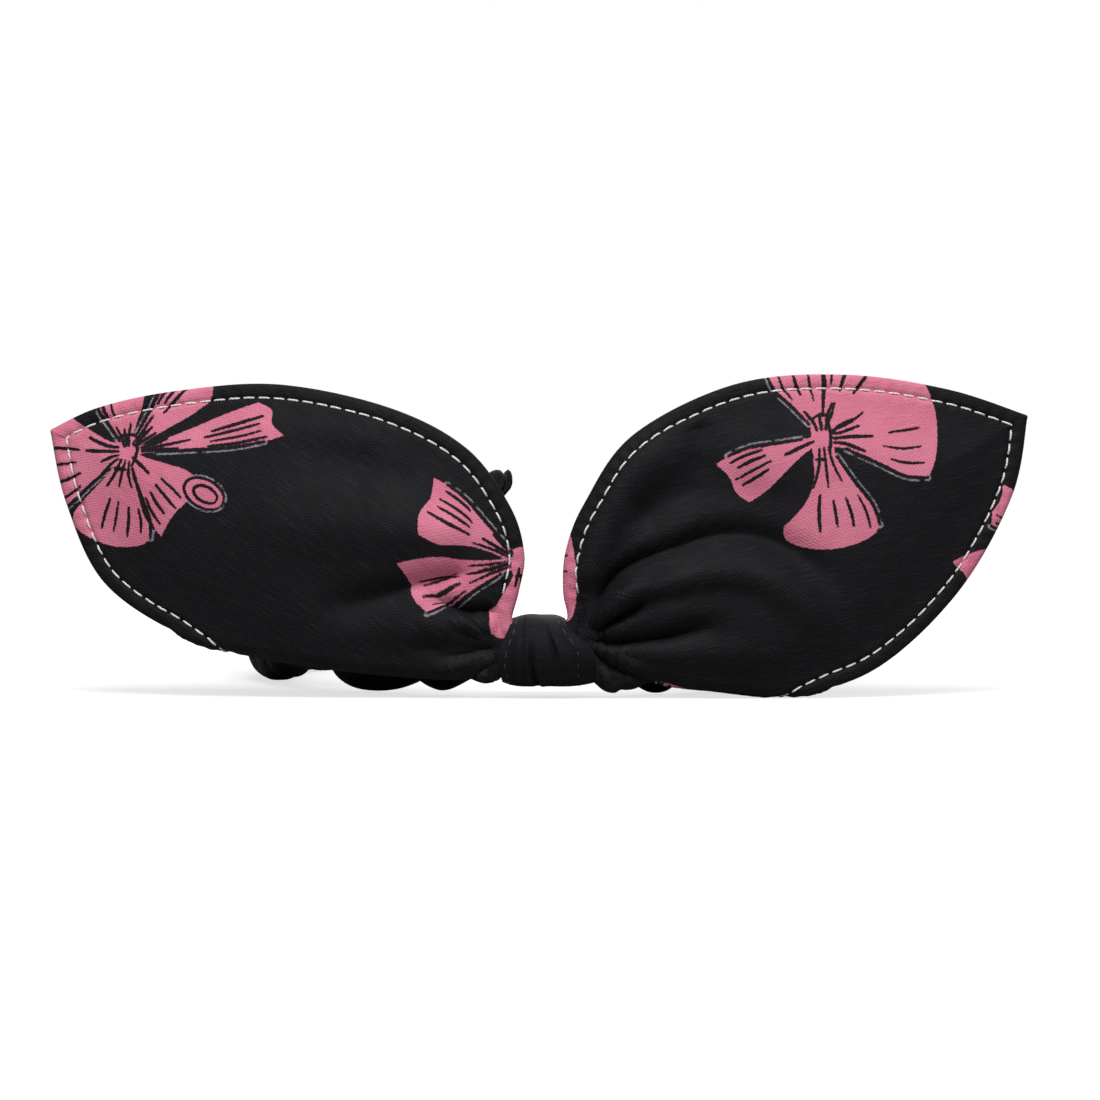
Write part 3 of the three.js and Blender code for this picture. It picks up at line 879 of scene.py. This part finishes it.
    def build(self, front_motifs, back_motifs):
        """Makes every piece of the ear."""
        front = self.panel("front_panel", 1, front_motifs)
        behind = self.panel("back_panel", -1, back_motifs)
        out, up = self.flat[..., 0], self.flat[..., 1]
        stiffening = (self.edge > INTERLINING["margin"]) & (out > INTERLINING["start"])
        core = self.layer("interlining", INTERLINING["thickness"], "interlining", "interlining", stiffening,
                          step=2)
        throat = self.edge > THROAT["margin"]
        for place, (low, high) in ((out, THROAT["out"]), (up, THROAT["up"])):
            throat &= (place > low) & (place < high)
        self.layer("neck", THROAT["thickness"], "plain", "printed_cotton", throat)
        turned_in = (self.edge > SEAM["inset"]) & (self.edge < SEAM["allowance"])
        self.layer("seam_allowance", SEAM["thickness"], "plain", "printed_cotton", turned_in)
        self.topstitch("front_topstitch", 1)
        self.topstitch("back_topstitch", -1)
        self.edge_seam()
        for piece in self.pieces:
            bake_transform(piece)


def at(x, y, z):
    """A place in the frame's metres, from the model's millimetres."""
    return tuple((ORIGIN + np.array([x, y, z]) * MM).tolist())


def half_thickness(edge, along):
    """Half the ear's thickness by the distance from its edge: a puffed rim, the stitched groove, the leaf.

    Each stitch draws the rim in a little, so the rim and the groove are faintly quilted along the edge.
    """
    rim = 0.95 * np.sqrt(np.clip(1 - (1 - np.clip(edge, 0, 1.3) / 1.3) ** 2, 0, 1))
    groove = 0.36 * np.exp(-(((edge - STITCH["inset"]) / 0.55) ** 2))
    leaf = 0.25 * smooth(5, 14, edge)
    pull = np.exp(-(((edge - STITCH["inset"] + 0.6) / 1.7) ** 2)) * smooth(0.4, 1.4, edge)
    quilting = 0.09 * np.cos(2 * math.pi * along / STITCH["pitch"]) + 0.07 * np.sin(along / 1.9)
    return rim - groove + leaf + pull * quilting


def whole_cells(keep):
    """The cells of a grid whose four corners are all kept."""
    return keep[:-1, :-1] & keep[1:, :-1] & keep[1:, 1:] & keep[:-1, 1:]


def inset_line(top_line, bottom_line, inset):
    """The ear's edge moved in, from the neck over the top to the tip and back along the bottom."""
    edge = np.vstack([resample(top_line, 260), resample(bottom_line, 240)[::-1][1:]])
    before = unit(np.vstack([edge[1] - edge[0], np.diff(edge, axis=0)]))
    after = unit(np.vstack([np.diff(edge, axis=0), edge[-1] - edge[-2]]))
    inward = unit(turned(before + after, -90))
    mitre = 1 / np.maximum(0.5, np.sqrt((1 + (before * after).sum(axis=1)) / 2))
    line = edge + inward * (inset * mitre)[:, None]
    clear, _ = distance_to_line(line, edge)
    line = line[clear > inset * 0.985]
    return line[(line[:, 0] > 7.0) | (line[:, 1] > 17)]


STITCH_RISE = np.array([[-0.35], [0.75], [1.0], [0.75], [-0.35]])


def stitch_paths(line, low, high, offset=0.0):
    """One short thread per stitch: it rises out of the cloth, lies on it and dives back in.

    The low and high functions carry flat points onto the cloth and onto the top of the thread.
    """
    total = distances_along(line)[-1]
    count = int((total - offset - STITCH["length"]) / STITCH["pitch"])
    dense = resample(line, int(total * 20))
    step = total / (len(dense) - 1)
    rng = np.random.default_rng(7)
    paths = []
    for k in range(count):
        start = offset + k * STITCH["pitch"] + rng.uniform(-0.08, 0.08)
        wanted = (start + np.linspace(0, STITCH["length"], len(STITCH_RISE))) / step
        spots = dense[np.clip(wanted.astype(int), 0, len(dense) - 1)]
        sunk = low(spots)
        paths.append(sunk + (high(spots) - sunk) * STITCH_RISE)
    return paths


# ---- the knot ----
def wrap_ring(s):
    """The wrap's path round the band, as y, z and outward y, z, for s from 0 to 1 from the front's middle.

    It goes up the round front, back along the flat top, round the back and forward along the underside.
    """
    radius = KNOT["height"] / 2
    straight = KNOT["back"] - KNOT["front"] - 2 * radius
    quarter = math.pi * radius / 2
    along = (np.asarray(s) % 1) * (2 * straight + 4 * quarter)
    rounded = (np.clip(along, 0, quarter) + np.clip(along - quarter - straight, 0, 2 * quarter)
               + np.clip(along - 3 * quarter - 2 * straight, 0, quarter))
    run = np.clip(along - quarter, 0, straight) - np.clip(along - 3 * quarter - straight, 0, straight)
    oy, oz = -np.cos(rounded / radius), np.sin(rounded / radius)
    return KNOT["front"] + radius + run + radius * oy, KNOT_Z + radius * oz, oy, oz


# The wrap's girth and the thickness of its cloth, then its shape, all in millimetres.
WRAP_GIRTH, WRAP_WALL = 62, 0.8
WRAP_SIDES = {"left": -9.0, "left_taper": 2.6, "right": 9.6, "right_taper": 5.8}
CROSSING = {"y": -7.8, "depth": 4.6, "height": 9.6}

# The wrap's stitches run over this part of its round. Each dips into the cloth and lies just sunk in it.
WRAP_STITCHES = {"from": -0.2, "to": 0.72, "samples": 600, "radius": 0.13, "dips": 0.14, "lies": 0.04}

# The wrap's pleats as (place across it, from and to round the band, depth, width). 0 is the front's middle.
WRAP_CREASES = [
    (-0.28, -0.16, 0.0, 0.9, 0.05), (0.22, -0.04, 0.06, 0.7, 0.05), (-0.7, -0.14, 0.05, 0.4, 0.06),
    (0.62, -0.12, 0.03, 0.35, 0.06), (-0.45, 0.36, 0.44, 0.8, 0.06), (0.1, 0.36, 0.5, 0.9, 0.06),
    (0.5, 0.38, 0.5, 0.8, 0.05), (-0.1, -0.5, -0.3, 0.9, 0.06), (0.6, -0.5, -0.36, 0.7, 0.05),
    (-0.62, -0.5, -0.32, 0.8, 0.06),
]


def wrap_sides(z):
    """How far the wrap reaches to the left and the right at a height: it narrows towards its top."""
    high = smooth(7, 16, z)
    left = WRAP_SIDES["left"] + WRAP_SIDES["left_taper"] * high + 0.9 * (1 - smooth(1.5, 6, z))
    return left, WRAP_SIDES["right"] - WRAP_SIDES["right_taper"] * high


def wrap_point(s, t, thickness=0.0):
    """A point of the knot's wrap: s goes round the band, t from the left edge, -1, to the right edge, 1.

    The wrap is full in its middle and has pleats pressed into it, and one wider fold runs up its front.
    """
    y, z, oy, oz = wrap_ring(s)
    front = np.clip(-oy, 0, 1)
    left, right = wrap_sides(z)
    x = (left + right) / 2 + (right - left) / 2 * t
    drift = 0.05 * np.sin(4 * math.pi * s + 1.1)
    around = (np.asarray(s) + 0.5) % 1 - 0.5
    creases = 0 * x
    for place, low, high, depth, width in WRAP_CREASES:
        run = window(low - 0.05, low + 0.04, high - 0.04, high + 0.05, around)
        across = t + drift - place - 0.12 * (around - low)
        beside = np.exp(-(((across - 2.1 * width) / (1.4 * width)) ** 2))
        creases = creases + depth * run * (np.exp(-((across / width) ** 2)) - 0.3 * beside)
    swell = 0.1 * np.sin(5.5 * t + 9 * around + 1.0) + 0.08 * np.sin(4.1 * t - 17 * around)
    crown = -0.25 - 0.75 * t**4
    fold = 0.55 * front * smooth(-0.52, -0.4, t + 0.2 * around) * (1 - smooth(0.35, 0.75, t))
    lift = crown + swell + fold - creases - thickness
    return np.stack([x + 0 * y, y + oy * lift, z + oz * lift], axis=-1)


def build_wrap(looks):
    """The pleated strip round the band's front, a layer of cloth with two lines of stitches."""
    rows, columns = ((260, 110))
    s, t = np.meshgrid(np.linspace(0, 1, rows, endpoint=False), np.linspace(-1, 1, columns), indexing="ij")
    outer = wrap_point(s, t)
    inner = wrap_point(s, t * 0.96, WRAP_WALL)
    points = np.vstack([outer.reshape(-1, 3), inner.reshape(-1, 3)])
    faces = two_sided(grid_faces(rows, columns, wrap_rows=True), rows * columns)
    uv = np.stack([t * 14, s * WRAP_GIRTH], axis=-1).reshape(-1, 2)
    wrap = make_object("knot_wrap_cloth", points, faces, looks["plain"], np.vstack([uv, uv]))
    stand_for(wrap, "knot_wrap", "bow_knot")
    stitches = [build_wrap_stitch("left", -0.82, looks), build_wrap_stitch("right", 0.66, looks)]


def build_wrap_stitch(side, place, looks):
    """A line of stitches round the wrap, at a place across it, that dips into the cloth between stitches."""
    s = np.linspace(WRAP_STITCHES["from"], WRAP_STITCHES["to"], WRAP_STITCHES["samples"])
    length = WRAP_GIRTH * (WRAP_STITCHES["to"] - WRAP_STITCHES["from"])

    def sunk_by(depth):
        line = wrap_point(s, place + 0.03 * np.sin(s * 14), depth)
        return lambda spots: line[(spots[:, 0] / length * (len(line) - 1)).astype(int)]

    paths = stitch_paths(np.array([[0, 0], [length, 0]]), sunk_by(WRAP_STITCHES["dips"]),
                         sunk_by(WRAP_STITCHES["lies"]))
    # The white thread here is painted near black, a painted shade for the wrap's pleats.
    made = thread_object(f"knot_wrap_stitch_{side}_thread", paths, WRAP_STITCHES["radius"],
                         looks["painted shade thread"])
    stand_for(made, f"knot_wrap_stitch_{side}", "bow_knot")
    return made


def build_crossing(looks):
    """The two strips where they cross inside the wrap, filling it in front of the band."""
    rows, columns = 60, 40
    turn = np.linspace(0, 2 * math.pi, columns, endpoint=False)[None, :]
    t = np.linspace(-1, 1, rows)[:, None]
    taper = np.clip(1 - np.abs(t) ** 6, 0.02, 1) ** 0.5
    pleats = 1 + 0.05 * np.sin(7 * turn + 2 * t)
    y = CROSSING["y"] + CROSSING["depth"] / 2 * taper * pleats * np.cos(turn)
    z = KNOT_Z + CROSSING["height"] / 2 * taper * pleats * np.sin(turn)
    left, right = wrap_sides(z)
    x = (left + right) / 2 + (right - left) / 2 * 0.86 * t
    points = np.stack([x, y, z], axis=-1).reshape(-1, 3)
    faces = grid_faces(rows, columns, wrap_columns=True).tolist()
    faces += [list(range(columns)), list(range((rows - 1) * columns, rows * columns))[::-1]]
    uv = np.stack([x, 5 * turn + 0 * t], axis=-1).reshape(-1, 2)
    made = make_object("knot_crossing_cloth", points, faces, looks["plain"], uv, merge=False)
    face_outwards(made.data)
    stand_for(made, "knot_crossing", "bow_knot")


# ---- the band ----
# How far the sleeve tucks into the band's mouths, then the cover's wall and girth, in millimetres.
SLEEVE_TUCK = 5
COVER_WALL, COVER_GIRTH = 0.45, 104

# The gathers: how far apart they are beside the knot and at the nape, how deep, and where the first one is.
GATHERS = {"wide": 19.5, "narrow": 8.0, "depth": 2.7, "first": 26}

# The gathers under the left ear that don't reach the table: where they rise and fall, and how high.
RAISED = {"span": (46, 50, 68, 75), "height": 3.4}


def loop_point(angle, across, z):
    """A point beside the band's loop, at an angle round it from the knot and a distance across it."""
    out = unit(np.stack([-LOOP[1] * np.sin(angle), -LOOP[0] * np.cos(angle)], axis=-1))
    x = -LOOP[0] * np.sin(angle) + across * out[..., 0]
    y = LOOP[1] * (1 - np.cos(angle)) + across * out[..., 1]
    return np.stack([x, y, z + 0 * x], axis=-1)


def along_loop(angle):
    """About how far an angle round the loop is from the knot, in millimetres either way."""
    a = np.abs(angle)
    return a * (LOOP[0] + (sum(LOOP) / 2 - LOOP[0]) * np.minimum(1, a))


LEFT_MOUTH = math.pi - math.asin(-NAPE["left"] / LOOP[0])
RIGHT_MOUTH = -(math.pi - math.asin(NAPE["right"] / LOOP[0]))

# The cover flares from the core's size, at its start beside the knot, to its full height.
FLARE = {"start": 11.5, "end": 52}
CAP_ROWS = 16


def gathers_of(signed, across, up):
    """The band's rounded bulges, 0 in the creases to 1 between them, how full they are, and their lift.

    Signed is the distance from the knot, above zero on the left. The bulges' spacing and lean wander.
    """
    along = np.abs(signed)
    spacing = GATHERS["wide"] - (GATHERS["wide"] - GATHERS["narrow"]) * smooth(50, 125, along)
    count_along = np.cumsum(np.gradient(signed, axis=0) / spacing, axis=0)
    # Under the left ear the creases keep their places, counted from the first one.
    count_along -= np.interp(GATHERS["first"], signed[:, 0], count_along[:, 0])
    loose = 1 - 0.85 * window(0, 12, 55, 75, signed)
    wander = (0.3 * np.sin(signed / 11.0 + 0.7) + 0.2 * np.sin(signed / 6.3 + 1.4 * up)
              + 0.16 * np.sin(signed / 3.9))
    fullness = 0.78 + 0.22 * np.sin(signed / 7.7 + 1.3) + 0.16 * np.sin(signed / 4.3 + 1.1 * up + 0.4)
    lean = 0.16 * up * np.sin(signed / 19.0 + 1.0) + 0.1 * across * np.sin(signed / 9.0)
    phase = math.pi * (count_along + loose * (wander + lean))
    bulge = np.abs(np.sin(phase)) ** 0.75
    second = np.abs(np.sin(1.63 * phase + 0.9 + 0.5 * across + 0.35 * up)) ** 0.6
    fine = 0.07 * np.sin(5.3 * phase + 2.0 * up + across)
    lift = GATHERS["depth"] * fullness * np.minimum(bulge, 0.4 + 0.6 * second) - 1.5 + fine
    return bulge, fullness, lift


def gathered_section(a, across, up):
    """How far the gathered cover lies across the loop, and its height, before its ends close in."""
    along = along_loop(a)
    signed = np.sign(a) * along
    flare = smooth(FLARE["start"], FLARE["end"], along)
    swell = smooth(FLARE["start"], 22, along)
    half_t = CORE_RADIUS + (COVER["thickness"] / 2 - CORE_RADIUS) * smooth(FLARE["start"], 30, along)
    foot = (KNOT_Z - CORE_RADIUS) * (1 - swell)
    height = 2 * CORE_RADIUS + swell * 6 + flare * (COVER["height"] - 2 * CORE_RADIUS - 6)
    bulge, fullness, lift = gathers_of(signed, across, up)
    gather = 0.06 + 0.94 * smooth(9, 30, along)
    # Beside the knot the outer side lies flatter, out of the way of the ears.
    side_t = half_t + gather * lift - 2.2 * (1 - smooth(24, 42, along)) * smooth(0, 0.5, across)
    z = foot + height / 2 + up * height / 2
    z = z + np.clip(up, 0, 1) ** 2 * (bulge * fullness - 0.6) * 2.2 * gather
    z = z + np.clip(-up, 0, 1) ** 2 * (1 - bulge) * 2.8 * gather
    z = z + RAISED["height"] * window(*RAISED["span"], signed) * np.clip(-up, 0, 1) ** 1.5
    return across * side_t, np.maximum(z, 0.05)


def build_band(looks):
    """The band's cover: a gathered tube that flares out from the knot and closes in on the nape sleeve."""
    rows, columns = ((640, 96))
    a = np.concatenate([np.full(CAP_ROWS, RIGHT_MOUTH), np.linspace(RIGHT_MOUTH, LEFT_MOUTH, rows),
                        np.full(CAP_ROWS, LEFT_MOUTH)])[:, None]
    # How far each row has closed in over the open end, 0 on the tube and 1 at the sleeve.
    closing = np.linspace(1 / CAP_ROWS, 1, CAP_ROWS)
    c = np.concatenate([closing[::-1], np.zeros(rows), closing])[:, None]
    turn = np.linspace(0, 2 * math.pi, columns, endpoint=False)[None, :] + 0 * a
    cosine, sine = np.cos(turn), np.sin(turn)
    # Round beside the knot, and nearer to a rounded oblong where the cover is full.
    power = 2 / (2 + smooth(FLARE["start"], FLARE["end"], along_loop(a)))
    across = np.sign(cosine) * np.abs(cosine) ** power
    up = np.sign(sine) * np.abs(sine) ** power
    across_mm, z = gathered_section(a, across, up)
    # The ends close in on the sleeve in deep radial pleats.
    close = smooth(0, 1, c)
    across_mm = across_mm * (1 - close) + close * (SLEEVE["thickness"] / 2 + 0.15) * cosine
    sleeve_z = SLEEVE["bottom"] + SLEEVE["height"] / 2 + (SLEEVE["height"] / 2 + 0.2) * sine
    z = z * (1 - close) + close * sleeve_z
    points = loop_point(a, across_mm, z)
    # Cloth bulges past the mouth and tucks back in: it moves along the loop, by the tangent at the mouth.
    to_mouth = along_loop(np.where(a > 0, LEFT_MOUTH, RIGHT_MOUTH)) - along_loop(a)
    pleats = 0.9 * np.sin(15 * turn + 1.0) + 0.5 * np.sin(24 * turn)
    push = 1.2 * np.sin(math.pi * c) - 0.5 * c + pleats * np.sin(math.pi * np.clip(c * 1.1, 0, 1)) * 0.9
    push = push - 6.5 * (1 - smooth(0, 14, to_mouth)) * (1 - smooth(36, 43, z)) * (1 - close)
    tangent = unit(np.stack([-LOOP[0] * np.cos(a), LOOP[1] * np.sin(a), 0 * a], axis=-1))
    points = points + tangent * (np.sign(a) * push)[..., None]
    # The upper corner beside the left ear's inner edge stands up in a point.
    corner = (1 - smooth(1, 9, to_mouth)) * (a > 0) * (1 - close)
    points[..., 2] += corner * np.clip(up, 0, 1) ** 2 * 2.4
    around = distances_along(points[:, 0])[:, None]
    uv = np.stack([around + 0 * turn, turn / (2 * math.pi) * COVER_GIRTH], axis=-1).reshape(-1, 2)
    made = make_tube("band_cover_cloth", points, looks["band"], uv)
    stand_for(made, "band_cover", "band")


def make_tube(name, points, material, uv):
    """A tube of cloth from its grid of points, whose columns go round it."""
    rows, columns = points.shape[:2]
    inward = normals_of(points, wrap_columns=True)
    middle = points.mean(axis=1, keepdims=True)
    inward *= np.sign(((middle - points) * inward).sum(axis=2, keepdims=True).mean())
    both = np.vstack([points.reshape(-1, 3), (points + inward * COVER_WALL).reshape(-1, 3)])
    faces = two_sided(grid_faces(rows, columns, wrap_columns=True), rows * columns)
    made = make_object(name, both, faces, material, np.vstack([uv, uv]), merge=False)
    face_outwards(made.data)
    return made


def build_sleeve(looks):
    """The small gathered tube round the elastic at the nape. Its ends are tucked into the band's mouths."""
    rows, columns = 160, 48
    tuck = SLEEVE_TUCK / LOOP[0]
    a = np.linspace(LEFT_MOUTH - tuck, 2 * math.pi + RIGHT_MOUTH + tuck, rows)[:, None]
    turn = np.linspace(0, 2 * math.pi, columns, endpoint=False)[None, :]
    s = a * LOOP[0]
    ridge = 0.3 * np.sin(2 * math.pi * s / 2.3 + 0.8 * np.sin(turn)) + 0.16 * np.sin(2 * math.pi * s / 1.37)
    across = np.cos(turn) * (SLEEVE["thickness"] / 2 - 0.4 + ridge)
    z = SLEEVE["bottom"] + SLEEVE["height"] / 2 + np.sin(turn) * (SLEEVE["height"] / 2 - 0.5 + ridge)
    uv = np.stack([s + 0 * turn, turn * 4 + 0 * s], axis=-1).reshape(-1, 2)
    made = make_tube("nape_sleeve_cloth", loop_point(a, across, z), looks["band"], uv)
    stand_for(made, "nape_sleeve", "band")


def finish_cad_nodes(looks):
    """The small CAD pieces that keep their own shape get their finished materials."""
    finishes = {"band_elastic": "elastic", "elastic_join_stitch": "white", "cover_end_stitch_left": "black",
                "cover_end_stitch_right": "black"}
    for node, look in finishes.items():
        piece = frame["nodes"][node]
        piece.data.materials.clear()
        piece.data.materials.append(looks[look])


# ---- the stage ----
def build_floor():
    """A pale table just below the headband."""
    mesh = bpy.data.meshes.new("floor")
    size, below = 6.0, -0.0003
    corners = [(-size, -size, below), (size, -size, below), (size, size, below), (-size, size, below)]
    mesh.from_pydata(corners, [], [(0, 1, 2, 3)])
    n = Finish("floor")
    # It fades to the backdrop's white away from the headband, by a glow that lights nothing else.
    place = n.add("ShaderNodeNewGeometry").outputs["Position"]
    away = n.add("ShaderNodeVectorMath", {0: place}, operation="LENGTH").outputs["Value"]
    seen = n.add("ShaderNodeLightPath").outputs["Is Camera Ray"]
    n.set(Base_Color=(0.35, 0.35, 0.35, 1), Emission_Color=(1, 1, 1, 1), Roughness=0.9,
          Specular_IOR_Level=0.0,
          Emission_Strength=n.math("MULTIPLY", n.ramp(away, 0.1, 0.26, 0.7, 1.0), seen))
    mesh.materials.append(n.material)
    in_scene(bpy.data.objects.new("floor", mesh))


def build_world():
    """A white backdrop that lights the scene only dimly."""
    world = bpy.data.worlds.new("studio")
    world.use_nodes = True
    n = Nodes(world.node_tree)
    background = world.node_tree.nodes["Background"]
    background.inputs["Color"].default_value = (1, 1, 1, 1)
    seen = n.add("ShaderNodeLightPath").outputs["Is Camera Ray"]
    world.node_tree.links.new(n.ramp(seen, 0.0, 1.0, 0.2, 1.0), background.inputs["Strength"])
    bpy.context.scene.world = world
    bpy.context.scene.view_settings.view_transform = "Standard"


def add_light(name, place, target, size, power):
    """A square area light at a place in metres, aimed at a target."""
    data = bpy.data.lights.new(name, "AREA")
    data.size = size
    data.energy = power
    light = in_scene(bpy.data.objects.new(name, data))
    light.location = place
    light.rotation_euler = (Vector(target) - Vector(place)).to_track_quat("-Z", "Y").to_euler()


def build_camera():
    """Level, a hand's height above the table and about 45 cm in front of the ears."""
    distance, seen_width, height = 450.0, 207.5, 27.7
    data = bpy.data.cameras.new("camera")
    data.sensor_width = 36
    data.lens = 36 * distance / seen_width
    camera = in_scene(bpy.data.objects.new("camera", data))
    camera.location = at(0.94, EAR_Y - distance, height)
    camera.rotation_euler = (math.pi / 2, 0, 0)
    bpy.context.scene.camera = camera


def build_ears(looks):
    """Both ears, each with where its rolled edge ends, its thread's turn in degrees, and its print."""
    left = Ear(-1, LEFT_UPPER, LEFT_LOWER, LEFT_FOLDS, (52, 72), -35, looks)
    left.build(left_front_print(), whole_bows((-52, 36, 20, 21), (-16, 12, 200, 22)))
    right = Ear(1, RIGHT_UPPER, RIGHT_LOWER, RIGHT_FOLDS, (36, 56), 12, looks)
    right.build(right_front_print(), whole_bows((30, 30, -35, 23), (78, 44, 120, 24)))


build_camera()
looks = {
    "print": printed_cotton("printed cotton"),
    "plain": printed_cotton("printed cotton, bare ground", printed=False),
    "band": printed_cotton("band cotton", printed=False),
    "white": sewing_thread("white thread", (0.82, 0.81, 0.78, 1), (0.5, 0.49, 0.47, 1)),
    # The knot's white stitches are painted near black: painted shade from the pleats they lie in.
    "painted shade thread": sewing_thread("white thread, painted dark as shade in the pleats", (0.06, 0.06, 0.066, 1),
                                   (0.015, 0.015, 0.015, 1)),
    "black": sewing_thread("black thread", (0.03, 0.03, 0.03, 1), (0.008, 0.008, 0.008, 1)),
    "interlining": felted("interlining", (0.08, 0.08, 0.08, 1), (0.03, 0.03, 0.03, 1), 2500.0),
    "elastic": felted("braided elastic", (0.03, 0.03, 0.03, 1), (0.01, 0.01, 0.01, 1), 1200.0),
}
build_ears(looks)
build_wrap(looks)
build_crossing(looks)
build_band(looks)
build_sleeve(looks)
finish_cad_nodes(looks)
build_floor()
build_world()
add_light("key", (0.0, -0.36, 0.46), (0.0, -0.07, 0.03), 0.26, 3.4)
add_light("back", (0.1, 0.55, 0.5), (0.0, 0.02, 0.02), 0.5, 3.0)

bpy.context.view_layer.update()
